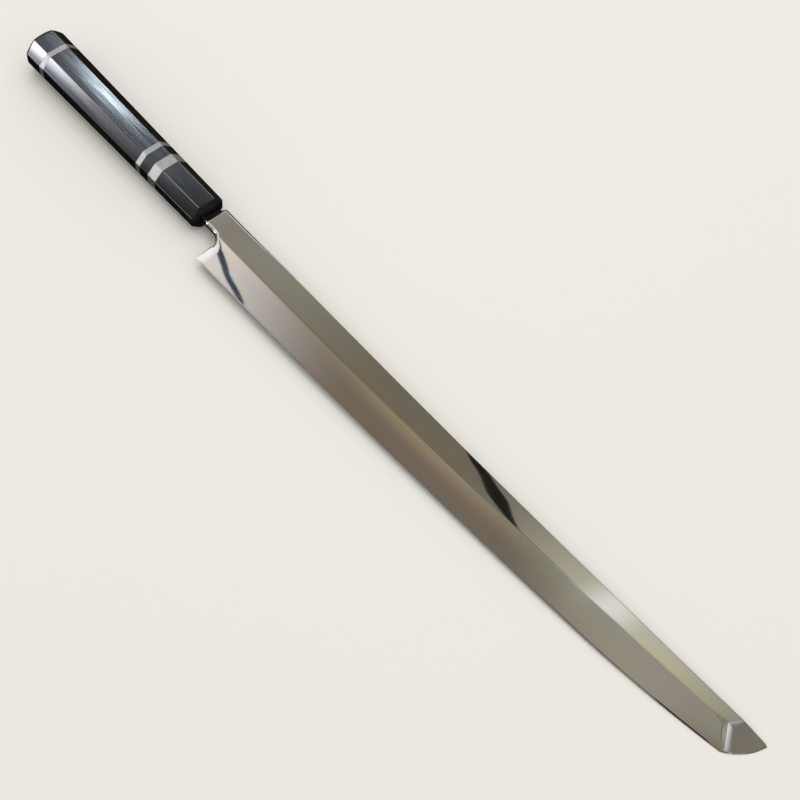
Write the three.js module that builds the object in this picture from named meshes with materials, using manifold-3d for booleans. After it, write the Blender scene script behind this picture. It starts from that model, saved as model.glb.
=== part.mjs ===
// Takohiki knife: single-bevel slicing blade with a sword-like point, in an octagonal ringed handle.
// Knife axes: x from the ferrule's front face to the tip, y to the spine, z to the bevelled side.
import * as THREE from 'three';
import { mergeVertices } from 'three/addons/utils/BufferGeometryUtils.js';
import Module from 'manifold-3d';

const wasm = await Module();
wasm.setup();
const { Manifold, Mesh } = wasm;

// Blade sizes in millimetres
const BLADE_LENGTH = 390;
const MACHI_GAP = 3.6;
const NECK_LENGTH = 14.8;
const NECK_FILLET = 6.5;
const NECK_THICKNESS = 4;
const TIP_THICKNESS = 2;
const SPINE_Y = 9.6;
const SPINE_RISE = 5.55;
const SPINE_STRAIGHT = 96;
const SPINE_CHAMFER = 0.4;
const SHINOGI_Y = -5.95;
const SHINOGI_RISE = 14.2;
const HEEL_Y = -22.5;
const EDGE_RISE = 14.8;
const BELLY_LENGTH = 103;
const BELLY_RISE = 5;
const EDGE_THICKNESS = 0.08;
const EDGE_BEVEL_WIDTH = 0.7;
const EDGE_BEVEL_RISE = 0.26;

// Point of the blade, measured back from the tip
const TIP_FALL = 1.05;
const SPINE_DROP = 16;
const SPINE_DROP_RADIUS = 125;
const POINT_RADIUS = 27.5;
const POINT_LIP = 0.34;
const YOKOTE_EDGE = 13.2;
const YOKOTE_CORNER = 20;
const YOKOTE_CORNER_RISE = 0.7;
const SHINOGI_END = 24.4;

// Hollow of the blade's back
const HOLLOW_DEPTH = 0.45;
const HOLLOW_FROM_HEEL = 12;
const HOLLOW_FROM_TIP = 33;
const HOLLOW_RUN_OUT = 45;
const HOLLOW_SPINE_RIM = 2.6;
const HOLLOW_EDGE_RIM = 1.6;

// Tang sizes, as steps in from the neck, and its far end
const TANG_STEP_TOP = 3.3;
const TANG_STEP_UNDER = 1.05;
const TANG_STEP_SIDE = 0.2;
const TANG_END_HEIGHT = 5.5;
const TANG_END_THICKNESS = 2.4;

// Handle sizes
const FERRULE_LENGTH = 33.3;
const WIDE_RING = 6.6;
const SPACER_LENGTH = 7.4;
const THIN_RING = 3.5;
const GRIP_LENGTH = 86.8;
const REAR_RING = 3.4;
const END_CAP_LENGTH = 16;
const DOME_RADIUS = 27;
const BUTT_HEIGHT = 25.6;
const BUTT_THICKNESS = 20.8;
const BUTT_RIDGE_LEG = 6.55;
const FRONT_HEIGHT = 21.5;
const FRONT_THICKNESS = 17.7;
const FRONT_RIDGE_LEG = 5.5;
const FRONT_CHAMFER = 0.8;

// Hidden joinery of the handle
const GLUE_LINE = 0.05;
const GLUE_GAP = 0.15;
const TANG_CLEARANCE = 0.3;
const DOWEL_RADIUS = 7;
const DOWEL_COVER = 12;
const DOWEL_IN_GRIP = 27;
const BED_RADIUS = 5;
const BED_END_WALL = 2.5;
const GRIP_WEB = 5;
const CAP_DOWEL_RADIUS = 5;
const CAP_DOWEL_IN_GRIP = 12;
const CAP_DOWEL_IN_CAP = 8;
const MOUTH_MARGIN = 1;
const SEAL_DEPTH = 4;
const SEAL_RECESS = 0.4;

// Fineness of curves, and how far cutters and blanks reach past what they cut
const BLADE_STATIONS = 30;
const HOLLOW_STEPS = 8;
const ROUND_STEPS = 40;
const MERGE_DISTANCE = 1e-4;
const CUT_REACH = 40;
const BLANK_OVERRUN = 2;

// Stations of the blade
const MACHI_X = MACHI_GAP;
const HEEL_X = MACHI_X + NECK_LENGTH;
const TIP_X = HEEL_X + BLADE_LENGTH;

// Joints of the handle, from the ferrule's rear to the butt
const FERRULE_REAR = -FERRULE_LENGTH;
const WIDE_REAR = FERRULE_REAR - WIDE_RING;
const SPACER_REAR = WIDE_REAR - SPACER_LENGTH;
const THIN_REAR = SPACER_REAR - THIN_RING;
const GRIP_REAR = THIN_REAR - GRIP_LENGTH;
const CAP_FRONT = GRIP_REAR - REAR_RING;
const BUTT_X = CAP_FRONT - END_CAP_LENGTH;

// Ends of the hidden bores
const DOWEL_FRONT = -DOWEL_COVER;
const DOWEL_REAR = THIN_REAR - DOWEL_IN_GRIP;
const CAP_BORE_FRONT = GRIP_REAR + CAP_DOWEL_IN_GRIP;
const CAP_BORE_REAR = CAP_FRONT - CAP_DOWEL_IN_CAP;
const BED_REAR = CAP_BORE_FRONT + GRIP_WEB;
const TANG_REAR = BED_REAR + BED_END_WALL;

// Rise of a curve that starts level and reaches its full rise after a run
function curveRise(from, run, rise) {
  const share = Math.max(0, from / run);
  return rise * share * share;
}

// Height of the spine along the blade
function spineY(x) {
  return SPINE_Y + curveRise(x - SPINE_STRAIGHT, TIP_X - SPINE_STRAIGHT, SPINE_RISE);
}

// Height of the ridge between flat and bevel
function shinogiY(x) {
  return SHINOGI_Y + curveRise(x - HEEL_X, BLADE_LENGTH, SHINOGI_RISE);
}

// Height of the cutting edge: a long gentle curve, and a belly that lifts it near the point
function edgeY(x) {
  const gentle = curveRise(x - HEEL_X, BLADE_LENGTH, EDGE_RISE);
  const belly = curveRise(x - TIP_X + BELLY_LENGTH, BELLY_LENGTH, BELLY_RISE);
  return HEEL_Y + gentle + belly;
}

// Half of the blade's thickness, which thins evenly towards the tip
function halfThickness(x) {
  const share = (x - MACHI_X) / (TIP_X - MACHI_X);
  return THREE.MathUtils.lerp(NECK_THICKNESS, TIP_THICKNESS, share) / 2;
}

// Depth of the back's hollow, which runs out softly at both ends
function hollowDepth(x) {
  const fromHeel = x - HEEL_X - HOLLOW_FROM_HEEL;
  const fromTip = TIP_X - HOLLOW_FROM_TIP - x;
  const start = THREE.MathUtils.smoothstep(fromHeel, 0, HOLLOW_RUN_OUT);
  const end = THREE.MathUtils.smoothstep(fromTip, 0, HOLLOW_RUN_OUT);
  return HOLLOW_DEPTH * start * end;
}

// Cross-section of the blade, from the edge over the hollow back to the spine, the flat and the bevel
function bladeSection(x) {
  const half = halfThickness(x);
  const top = spineY(x);
  const edge = edgeY(x);
  const section = [[x, edge, -half]];
  for (let step = 0; step <= HOLLOW_STEPS; step += 1) {
    const share = step / HOLLOW_STEPS;
    const y = THREE.MathUtils.lerp(edge + HOLLOW_EDGE_RIM, top - HOLLOW_SPINE_RIM, share);
    section.push([x, y, 4 * share * (1 - share) * hollowDepth(x) - half]);
  }
  section.push([x, top - SPINE_CHAMFER, -half]);
  section.push([x, top, SPINE_CHAMFER - half]);
  section.push([x, top, half - SPINE_CHAMFER]);
  section.push([x, top - SPINE_CHAMFER, half]);
  section.push([x, shinogiY(x), half]);
  section.push([x, edge + EDGE_BEVEL_WIDTH, EDGE_BEVEL_RISE - half]);
  section.push([x, edge, EDGE_THICKNESS - half]);
  return section;
}

// Closed geometry as a solid that can be joined and cut
function solid(geometry) {
  const bare = new THREE.BufferGeometry();
  bare.setAttribute('position', geometry.getAttribute('position'));
  bare.setIndex(geometry.getIndex());
  const merged = mergeVertices(bare, MERGE_DISTANCE);
  const mesh = new Mesh({
    numProp: 3,
    vertProperties: new Float32Array(merged.getAttribute('position').array),
    triVerts: new Uint32Array(merged.getIndex().array),
  });
  return new Manifold(mesh);
}

// Solid through a row of rings from rear to front, closed by a fan of triangles at each end
function loft(rings) {
  const count = rings[0].length;
  const points = rings.flat();
  const index = [];
  for (let ring = 0; ring + 1 < rings.length; ring += 1) {
    for (let point = 0; point < count; point += 1) {
      const a = ring * count + point;
      const b = ring * count + ((point + 1) % count);
      index.push(a, b, a + count);
      index.push(b, b + count, a + count);
    }
  }
  const last = points.length - count;
  const rearCentre = points.push(middle(rings[0])) - 1;
  const frontCentre = points.push(middle(rings[rings.length - 1])) - 1;
  for (let point = 0; point < count; point += 1) {
    const next = (point + 1) % count;
    index.push(rearCentre, next, point);
    index.push(frontCentre, last + point, last + next);
  }
  const geometry = new THREE.BufferGeometry();
  geometry.setAttribute('position', new THREE.Float32BufferAttribute(points.flat(), 3));
  geometry.setIndex(index);
  return solid(geometry);
}

// Mean of a ring's points
function middle(ring) {
  return [0, 1, 2].map((axis) => ring.reduce((sum, point) => sum + point[axis], 0) / ring.length);
}

// Outline in the knife's plane, cut through its whole thickness
function throughCut(shape) {
  const geometry = new THREE.ExtrudeGeometry(shape, {
    depth: CUT_REACH,
    bevelEnabled: false,
    curveSegments: ROUND_STEPS / 2,
  });
  return solid(geometry.translate(0, 0, -CUT_REACH / 2));
}

// Block that takes away everything above the plane through three points
function planeCut(a, b, c) {
  const along = b.clone().sub(a).normalize();
  const normal = along.clone().cross(c.clone().sub(a)).normalize();
  if (normal.z < 0) {
    normal.negate();
  }
  const across = normal.clone().cross(along);
  const block = new THREE.BoxGeometry(2 * CUT_REACH, 2 * CUT_REACH, CUT_REACH);
  block.translate(0, 0, CUT_REACH / 2);
  block.applyMatrix4(new THREE.Matrix4().makeBasis(along, across, normal).setPosition(a));
  return solid(block);
}

// Round rod along the knife between two stations
function rod(rear, front, radius) {
  const geometry = new THREE.CylinderGeometry(radius, radius, front - rear, ROUND_STEPS);
  geometry.rotateZ(Math.PI / 2);
  return solid(geometry.translate((rear + front) / 2, 0, 0));
}

// Adds an arc that bulges to the right of the way from one point to the next
function bulgingArc(shape, from, to, radius) {
  const chord = to.clone().sub(from);
  const left = new THREE.Vector2(-chord.y, chord.x).normalize();
  const reach = Math.sqrt(radius * radius - chord.lengthSq() / 4);
  const centre = from.clone().add(to).multiplyScalar(0.5).addScaledVector(left, reach);
  const start = from.clone().sub(centre).angle();
  const end = to.clone().sub(centre).angle();
  shape.absarc(centre.x, centre.y, radius, start, end, false);
}

// Space behind the square heel and under the neck, with a rounded inner corner
function heelNotch() {
  const shape = new THREE.Shape();
  shape.moveTo(-CUT_REACH, SHINOGI_Y);
  shape.lineTo(-CUT_REACH, -CUT_REACH);
  shape.lineTo(HEEL_X, -CUT_REACH);
  shape.absarc(HEEL_X - NECK_FILLET, SHINOGI_Y - NECK_FILLET, NECK_FILLET, 0, Math.PI / 2, false);
  return throughCut(shape);
}

// Point on the blade's flat side
function onFlat(x, y) {
  return new THREE.Vector3(x, y, halfThickness(x));
}

// Point on the upper lip of the cutting edge
function onEdge(x, y) {
  return new THREE.Vector3(x, y, EDGE_THICKNESS - halfThickness(x));
}

// Corners of the point: on the flat, on the cutting edge and at the tip
const YOKOTE_CORNER_X = TIP_X - YOKOTE_CORNER;
const YOKOTE_EDGE_X = TIP_X - YOKOTE_EDGE;
const flatCorner = onFlat(YOKOTE_CORNER_X, shinogiY(YOKOTE_CORNER_X) + YOKOTE_CORNER_RISE);
const edgeCorner = onEdge(YOKOTE_EDGE_X, edgeY(YOKOTE_EDGE_X));
const tipCorner = onEdge(TIP_X, spineY(TIP_X) - TIP_FALL);

// Everything outside the rounded point
function pointOutline() {
  const dropX = TIP_X - SPINE_DROP;
  const edge = new THREE.Vector2(edgeCorner.x, edgeCorner.y);
  const tip = new THREE.Vector2(tipCorner.x, tipCorner.y);
  const drop = new THREE.Vector2(dropX, spineY(dropX));
  const shape = new THREE.Shape();
  shape.moveTo(edge.x, edge.y);
  bulgingArc(shape, edge, tip, POINT_RADIUS);
  bulgingArc(shape, tip, drop, SPINE_DROP_RADIUS);
  shape.lineTo(drop.x, CUT_REACH);
  shape.lineTo(TIP_X + CUT_REACH, CUT_REACH);
  shape.lineTo(TIP_X + CUT_REACH, -CUT_REACH);
  shape.lineTo(edge.x, -CUT_REACH);
  return throughCut(shape);
}

// Narrow facet where the bevel ends, before the point
function ridgeFacet() {
  const ridgeX = TIP_X - SHINOGI_END;
  return planeCut(onFlat(ridgeX, shinogiY(ridgeX)), flatCorner, edgeCorner);
}

// Facet of the point, which meets the rounded edge midway and leaves a thin lip at both its ends
function pointFacet() {
  const lip = new THREE.Vector3(0, 0, POINT_LIP);
  return planeCut(flatCorner, edgeCorner.clone().add(lip), tipCorner.clone().add(lip));
}

// Tapered tang, grown all round by a margin where it serves as a cutter
function tang(margin) {
  const ring = (x, under, top, thickness) => [
    [x, under - margin, -thickness / 2 - margin],
    [x, top + margin, -thickness / 2 - margin],
    [x, top + margin, thickness / 2 + margin],
    [x, under - margin, thickness / 2 + margin],
  ];
  const under = SHINOGI_Y + TANG_STEP_UNDER;
  const top = SPINE_Y - TANG_STEP_TOP;
  return loft([
    ring(TANG_REAR - margin, -TANG_END_HEIGHT / 2, TANG_END_HEIGHT / 2, TANG_END_THICKNESS),
    ring(MACHI_X + SPINE_CHAMFER, under, top, NECK_THICKNESS - 2 * TANG_STEP_SIDE),
  ]);
}

// Blade, neck and tang in one forging
function blade() {
  const rings = [];
  for (let station = 0; station <= BLADE_STATIONS; station += 1) {
    const share = station / BLADE_STATIONS;
    rings.push(bladeSection(THREE.MathUtils.lerp(MACHI_X, TIP_X + BLANK_OVERRUN, share)));
  }
  const ground = loft(rings)
    .subtract(heelNotch())
    .subtract(pointOutline())
    .subtract(ridgeFacet())
    .subtract(pointFacet());
  return ground.add(tang(0));
}

// Size of the handle at a station, between its front and its butt
function handleSize(x, front, butt) {
  return THREE.MathUtils.lerp(front, butt, x / BUTT_X);
}

// Octagonal ring of the handle, moved inwards by an inset
function octagon(x, inset = 0) {
  const y = handleSize(x, FRONT_HEIGHT, BUTT_HEIGHT) / 2 - inset;
  const z = handleSize(x, FRONT_THICKNESS, BUTT_THICKNESS) / 2 - inset;
  const leg = handleSize(x, FRONT_RIDGE_LEG, BUTT_RIDGE_LEG) - (2 - Math.SQRT2) * inset;
  return [
    [x, y, leg - z],
    [x, y, z - leg],
    [x, y - leg, z],
    [x, leg - y, z],
    [x, -y, z - leg],
    [x, -y, leg - z],
    [x, leg - y, -z],
    [x, y - leg, -z],
  ];
}

// Plain octagonal length of handle between two joints, each drawn back by half a glue line
function segment(rear, front) {
  return loft([octagon(rear + GLUE_LINE / 2), octagon(front - GLUE_LINE / 2)]);
}

// Bore for the tang's dowel
function dowelBore() {
  return rod(DOWEL_REAR - GLUE_GAP, DOWEL_FRONT + GLUE_GAP, DOWEL_RADIUS + GLUE_GAP);
}

// Blind holes for the cap's dowel
function capDowelBore() {
  return rod(CAP_BORE_REAR, CAP_BORE_FRONT, CAP_DOWEL_RADIUS + GLUE_GAP);
}

// Stretch of the ferrule's mouth, which is wider than the tang by a margin
function mouth(margin, rear, front) {
  return tang(margin).intersect(rod(rear, front, CUT_REACH));
}

// Metal ring or wooden spacer on the tang's dowel
function frontRing(rear, front) {
  return segment(rear, front).subtract(dowelBore());
}

// Horn ferrule with its bevelled front and the tang's mouth
function ferrule() {
  const body = loft([
    octagon(FERRULE_REAR + GLUE_LINE / 2),
    octagon(-FRONT_CHAMFER),
    octagon(0, FRONT_CHAMFER),
  ]);
  return body.subtract(mouth(MOUTH_MARGIN, DOWEL_FRONT, MACHI_GAP)).subtract(dowelBore());
}

// Wooden grip with bores for both dowels and the tang's end
function grip() {
  const bed = rod(BED_REAR, DOWEL_REAR, BED_RADIUS);
  return segment(GRIP_REAR, THIN_REAR).subtract(dowelBore()).subtract(bed).subtract(capDowelBore());
}

// Metal ring on the cap's dowel
function rearRing() {
  return segment(CAP_FRONT, GRIP_REAR).subtract(capDowelBore());
}

// Horn end cap, domed at the butt
function endCap() {
  const dome = new THREE.SphereGeometry(DOME_RADIUS, ROUND_STEPS, ROUND_STEPS);
  dome.rotateZ(Math.PI / 2);
  dome.translate(BUTT_X + DOME_RADIUS, 0, 0);
  const body = loft([octagon(BUTT_X), octagon(CAP_FRONT - GLUE_LINE / 2)]);
  return body.intersect(solid(dome)).subtract(capDowelBore());
}

// Wooden dowel with a slot for the tang
function tangDowel() {
  return rod(DOWEL_REAR, DOWEL_FRONT, DOWEL_RADIUS).subtract(tang(TANG_CLEARANCE));
}

// Plain wooden dowel between grip and end cap
function capDowel() {
  return rod(CAP_BORE_REAR + GLUE_GAP, CAP_BORE_FRONT - GLUE_GAP, CAP_DOWEL_RADIUS);
}

// Resin that closes the ferrule's mouth
function tangSeal() {
  const plug = mouth(MOUTH_MARGIN - GLUE_GAP, -SEAL_RECESS - SEAL_DEPTH, -SEAL_RECESS);
  return plug.subtract(tang(GLUE_GAP));
}

// Resin that holds the tang's end
function tangBedding() {
  const fill = rod(BED_REAR + GLUE_GAP, DOWEL_REAR - 2 * GLUE_GAP, BED_RADIUS - GLUE_GAP);
  return fill.subtract(tang(GLUE_GAP));
}

// Surfaces
const polishedSteel = { color: 0xb9b7ae, roughness: 0.1, metalness: 1 };
const nickelSilver = { color: 0xcfccc2, roughness: 0.3, metalness: 1 };
const horn = { color: 0x1d1e20, roughness: 0.22, metalness: 0 };
const ebony = { color: 0x171513, roughness: 0.35, metalness: 0 };
const hardwood = { color: 0xc6a26c, roughness: 0.7, metalness: 0 };
const resin = { color: 0x2a2420, roughness: 0.5, metalness: 0 };

// Named mesh with its own material
function piece(name, body, surface) {
  const { vertProperties, triVerts } = body.getMesh();
  const geometry = new THREE.BufferGeometry();
  geometry.setAttribute('position', new THREE.BufferAttribute(new Float32Array(vertProperties), 3));
  geometry.setIndex(new THREE.BufferAttribute(new Uint32Array(triVerts), 1));
  geometry.computeVertexNormals();
  const mesh = new THREE.Mesh(geometry, new THREE.MeshStandardMaterial({ ...surface, flatShading: true }));
  mesh.name = name;
  return mesh;
}

const knife = new THREE.Group();
knife.name = 'takohiki_knife';
knife.add(piece('blade', blade(), polishedSteel));
knife.add(piece('ferrule', ferrule(), horn));
knife.add(piece('wide_ring', frontRing(WIDE_REAR, FERRULE_REAR), nickelSilver));
knife.add(piece('ring_spacer', frontRing(SPACER_REAR, WIDE_REAR), ebony));
knife.add(piece('thin_ring', frontRing(THIN_REAR, SPACER_REAR), nickelSilver));
knife.add(piece('grip', grip(), ebony));
knife.add(piece('rear_ring', rearRing(), nickelSilver));
knife.add(piece('end_cap', endCap(), horn));
knife.add(piece('tang_dowel', tangDowel(), hardwood));
knife.add(piece('cap_dowel', capDowel(), hardwood));
knife.add(piece('tang_seal', tangSeal(), resin));
knife.add(piece('tang_bedding', tangBedding(), resin));

// Lying on its back: the ferrule's lower front ridge and the tip both touch the table
const ferruleDrop = handleSize(-FRONT_CHAMFER, FRONT_THICKNESS, BUTT_THICKNESS) / 2;
const tipDrop = halfThickness(TIP_X);
knife.rotation.y = Math.atan2(ferruleDrop - tipDrop, TIP_X + FRONT_CHAMFER);
knife.updateMatrixWorld(true);
const box = new THREE.Box3().setFromObject(knife, true);
const centre = box.getCenter(new THREE.Vector3());
knife.position.set(-centre.x, -centre.y, -box.min.z);

export default knife;
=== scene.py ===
"""Slicing knife with a mirror-polished single-bevel blade and a ringed octagonal handle.

Shapes are drawn in the knife's own axes, in metres: x runs from the ferrule's front face to the tip,
y towards the spine and z towards the bevelled side. One matrix lays the knife on the table.
"""
import math

import bmesh
import bpy
from mathutils import Euler, Matrix, Vector


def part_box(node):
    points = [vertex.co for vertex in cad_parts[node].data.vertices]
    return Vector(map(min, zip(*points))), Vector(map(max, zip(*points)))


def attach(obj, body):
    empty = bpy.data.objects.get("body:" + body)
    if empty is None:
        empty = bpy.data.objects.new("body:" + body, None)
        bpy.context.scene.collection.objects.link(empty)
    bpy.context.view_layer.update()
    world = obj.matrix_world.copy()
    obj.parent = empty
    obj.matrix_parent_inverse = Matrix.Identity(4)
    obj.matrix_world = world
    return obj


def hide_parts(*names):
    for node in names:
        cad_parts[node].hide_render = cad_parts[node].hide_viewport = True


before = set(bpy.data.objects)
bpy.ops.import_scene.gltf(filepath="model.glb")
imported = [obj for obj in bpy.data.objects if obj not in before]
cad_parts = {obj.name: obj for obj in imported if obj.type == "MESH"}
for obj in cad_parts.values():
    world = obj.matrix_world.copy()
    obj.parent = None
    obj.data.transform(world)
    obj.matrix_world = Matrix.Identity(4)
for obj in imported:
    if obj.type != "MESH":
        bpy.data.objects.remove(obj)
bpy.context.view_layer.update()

bl_info = {
    "name": "Takohiki knife",
    "version": (1, 0, 0),
    "blender": (4, 5, 0),
    "location": "View3D > Sidebar > Knife",
    "description": "Builds a long single-bevel slicing knife in a ringed octagonal handle, and its studio",
    "category": "Add Mesh",
}

MM = 0.001
BODY = "root"
HANDLE_ORDER = ("ferrule", "wide_ring", "ring_spacer", "thin_ring", "grip", "rear_ring", "end_cap")

# Fineness of the meshes
NECK_STEPS = 12
LENGTH_STEPS = 160
LENGTH_CROWDING = 3.4
FLAT_STEPS = 14
FLAT_CROWDING = 1.7
BEVEL_STEPS = 18
BAND_STEPS = 8
BAND_EVENNESS = 0.32
FACET_STEPS = 5
GROOVE_RUN_IN = 4
TIP_ARC_STEPS = 26
CORNER_STEPS = 4
CROWN_STEPS = 8
DOME_STEPS = 8
BORE_SIDES = 64
CORNER_CREASE = math.radians(40)
WELD = 1e-7

# Shares and limits in the shapes
EASE_SHARE = 0.45
LIP_SHARE = 0.25
TIP_FADE = 0.5
EDGE_STEEPER = 0.09
ROLL_BUILD = 1.5
WIDEST_GROOVE = 0.5
LEAST_FACET = 0.6
LEAST_MITRE = 0.4
DOME_HOLD = 0.9
DOME_PASSES = 4


def length(name, millimetres, description):
    """A length that a user may change, with its default in millimetres."""
    return bpy.props.FloatProperty(
        name=name, description=description, default=millimetres * MM, min=0.0, precision=5, unit="LENGTH"
    )


def linear(code):
    """Linear colour with alpha from an sRGB hex value."""
    shares = [int(code[start : start + 2], 16) / 255 for start in (1, 3, 5)]
    rgb = [s / 12.92 if s <= 0.04045 else ((s + 0.055) / 1.055) ** 2.4 for s in shares]
    return (*rgb, 1.0)


def colour(name, code, description):
    """A colour that a user may change, with its default as an sRGB hex value."""
    return bpy.props.FloatVectorProperty(
        name=name, description=description, default=linear(code), size=4, min=0.0, max=1.0, subtype="COLOR"
    )


class BladeSizes(bpy.types.PropertyGroup):
    """Sizes of the blade"""

    edge_length: length("Edge length", 390, "Along the knife, from the heel to the tip")
    shoulder_gap: length("Bare tang", 3.6, "Gap between the ferrule and the blade's shoulder")
    neck_length: length("Neck", 14.8, "From the shoulder to the heel")
    neck_fillet: length("Neck fillet", 6.5, "Radius of the inner corner between neck and heel")
    neck_thickness: length("Neck thickness", 4, "Thickness of the blade at its shoulder")
    tip_thickness: length("Tip thickness", 2, "Thickness of the blade at its tip")
    spine_above: length("Spine height", 9.6, "From the axis up to the spine at the heel")
    spine_straight: length("Straight spine", 96, "Where the spine starts to rise")
    spine_rise: length("Spine rise", 5.55, "Rise of the spine at the tip")
    ridge_below: length("Ridge depth", 5.95, "From the axis down to the ridge at the heel")
    ridge_rise: length("Ridge rise", 14.2, "Rise of the ridge at the tip")
    heel_below: length("Heel depth", 22.5, "From the axis down to the edge at the heel")
    edge_rise: length("Edge rise", 14.8, "Even rise of the edge at the tip")
    belly_length: length("Belly length", 103, "Stretch of the edge that bends up before the tip")
    belly_rise: length("Belly rise", 5, "Extra rise of the edge over the belly")
    edge_thickness: length("Edge thickness", 0.08, "Thickness left at the cutting edge")
    edge_bevel: length("Edge bevel", 0.7, "Width of the small bevel along the edge")
    corner_ease: length("Eased spine", 0.4, "Radius of the spine's corners")
    neck_ease: length("Eased neck", 1.8, "Radius of the corners of shoulder, neck and heel")
    neck_ease_run: length("Eased neck's run-out", 40, "Length over which the spine's corners sharpen")
    shoulder_round: length("Shoulder round", 0.35, "Radius of the shoulder's corners in plan")
    flat_crown: length("Flat's crown", 0.035, "How far polishing rolls off the flat at its borders")
    ridge_ease: length("Eased ridge", 0.8, "Width of the strip that softens the ridge")
    ridge_fall: length("Ridge fall", 0.03, "How far that strip falls towards the ridge")
    bevel_belly: length("Bevel's belly", 0.03, "How far the bevel stands proud in its middle")
    roll_width: length("Heel roll width", 6, "Width of the polished roll-off along the heel")
    roll_depth: length("Heel roll depth", 0.35, "Depth of the polished roll-off along the heel")
    hollow_depth: length("Hollow depth", 0.45, "Depth of the hollow ground into the back")
    hollow_run_out: length("Hollow run-out", 45, "Length over which the hollow fades out")
    hollow_from_heel: length("Hollow start", 12, "From the heel to the hollow")
    hollow_from_tip: length("Hollow end", 33, "From the hollow to the tip")
    spine_rim: length("Spine rim", 2.6, "Flat rim of the back along the spine")
    edge_rim: length("Edge rim", 1.6, "Flat rim of the back along the edge")


class PointSizes(bpy.types.PropertyGroup):
    """Sizes of the blade's point, measured back from the tip"""

    tip_fall: length("Tip fall", 1.05, "How far the tip lies under the spine's line")
    spine_drop: length("Spine drop", 16, "Where the spine starts to fall to the tip")
    drop_radius: length("Drop radius", 125, "Radius of the falling spine")
    arc_radius: length("Point radius", 27.5, "Radius of the rounded edge of the point")
    ridge_end: length("Ridge end", 27.4, "Where the long ridge ends")
    crease_back: length("Crease", 22.8, "Where the crease at the bevel's end would meet the ridge's line")
    crease_bend: length("Crease bend", 1.7, "Height over which the ridge bends down into the crease")
    groove_width: length("Groove width", 0.45, "Width of the fine groove along the crease")
    groove_depth: length("Groove depth", 0.2, "Depth of the fine groove along the crease")
    corner_back: length("Facet corner", 20.1, "Where the point's facet has its rear corner")
    corner_rise: length("Corner rise", 1.0, "How far that corner lies above the ridge's line")
    edge_back: length("Facet edge", 13.2, "Where the point's facet starts on the edge")
    spine_back: length("Facet spine", 16.1, "Where the point's facet starts on the spine")
    band_width: length("Band width", 5.6, "Width of the hollow band behind the facet, at its corner")
    band_spine: length("Band at spine", 1.4, "Width of that band at the spine")
    band_edge: length("Band at edge", 4.2, "Width of that band at the edge")
    band_foot: length("Band foot", 2.0, "From the corner of the edge to the start of that band")
    band_drop: length("Band drop", 0.66, "How far the band falls at its corner")
    corner_foot: length("Corner foot", 0.2, "Extra steel over the edge where the facet starts")
    facet_edge_lip: length("Facet lip at edge", 0.06, "Height of the facet over the edge, where it starts")
    facet_tip_lip: length("Facet lip at tip", 0.46, "Height of the facet over the edge, at the tip")
    facet_bevel: length("Facet bevel", 0.35, "Width of the small bevel along the point's rounded edge")


class HandleSizes(bpy.types.PropertyGroup):
    """Sizes of the handle"""

    ferrule: length("Ferrule", 33.3, "Length of the ferrule")
    wide_ring: length("Wide ring", 6.6, "Length of the wide ring")
    ring_spacer: length("Spacer", 7.4, "Length of the spacer between the front rings")
    thin_ring: length("Thin ring", 3.5, "Length of the thin ring")
    grip: length("Grip", 86.8, "Length of the grip")
    rear_ring: length("Rear ring", 3.4, "Length of the rear ring")
    end_cap: length("End cap", 16, "Length of the end cap")
    front_height: length("Front height", 21.5, "Height of the octagon at the ferrule's front")
    front_thickness: length("Front thickness", 17.7, "Thickness of the octagon at the ferrule's front")
    front_leg: length("Front corner", 5.5, "Leg of the octagon's slanted sides at the front")
    butt_height: length("Butt height", 25.6, "Height of the octagon at the butt")
    butt_thickness: length("Butt thickness", 20.8, "Thickness of the octagon at the butt")
    butt_leg: length("Butt corner", 6.55, "Leg of the octagon's slanted sides at the butt")
    dome_radius: length("Dome radius", 27, "Radius of the domed butt")
    front_chamfer: length("Front chamfer", 0.8, "Chamfer round the ferrule's front face")
    ridge_ease: length("Eased ridges", 0.25, "How far each ridge is rounded off")
    facet_crown: length("Facet crown", 0.07, "How far each hand-sanded facet stands proud in its middle")
    dome_ease: length("Eased butt", 0.5, "How far the rim of the dome is rounded off")
    glue_line: length("Glue line", 0.05, "Gap of a glued joint between two pieces")
    glue_gap: length("Glue gap", 0.15, "Gap between a dowel and its bore")
    mouth_margin: length("Mouth margin", 1, "Room round the tang in the ferrule's mouth")
    ferrule_face: length("Ferrule face", 12, "Horn in front of the dowel")
    tang_step_top: length("Tang step, spine", 3.3, "Step from the spine down to the tang")
    tang_step_under: length("Tang step, under", 1.05, "Step from the neck's underside up to the tang")
    tang_step_side: length("Tang step, side", 0.2, "Step from the blade's sides in to the tang")
    tang_end_height: length("Tang end height", 5.5, "Height of the tang at its end")
    tang_end_thickness: length("Tang end thickness", 2.4, "Thickness of the tang at its end")


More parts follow.
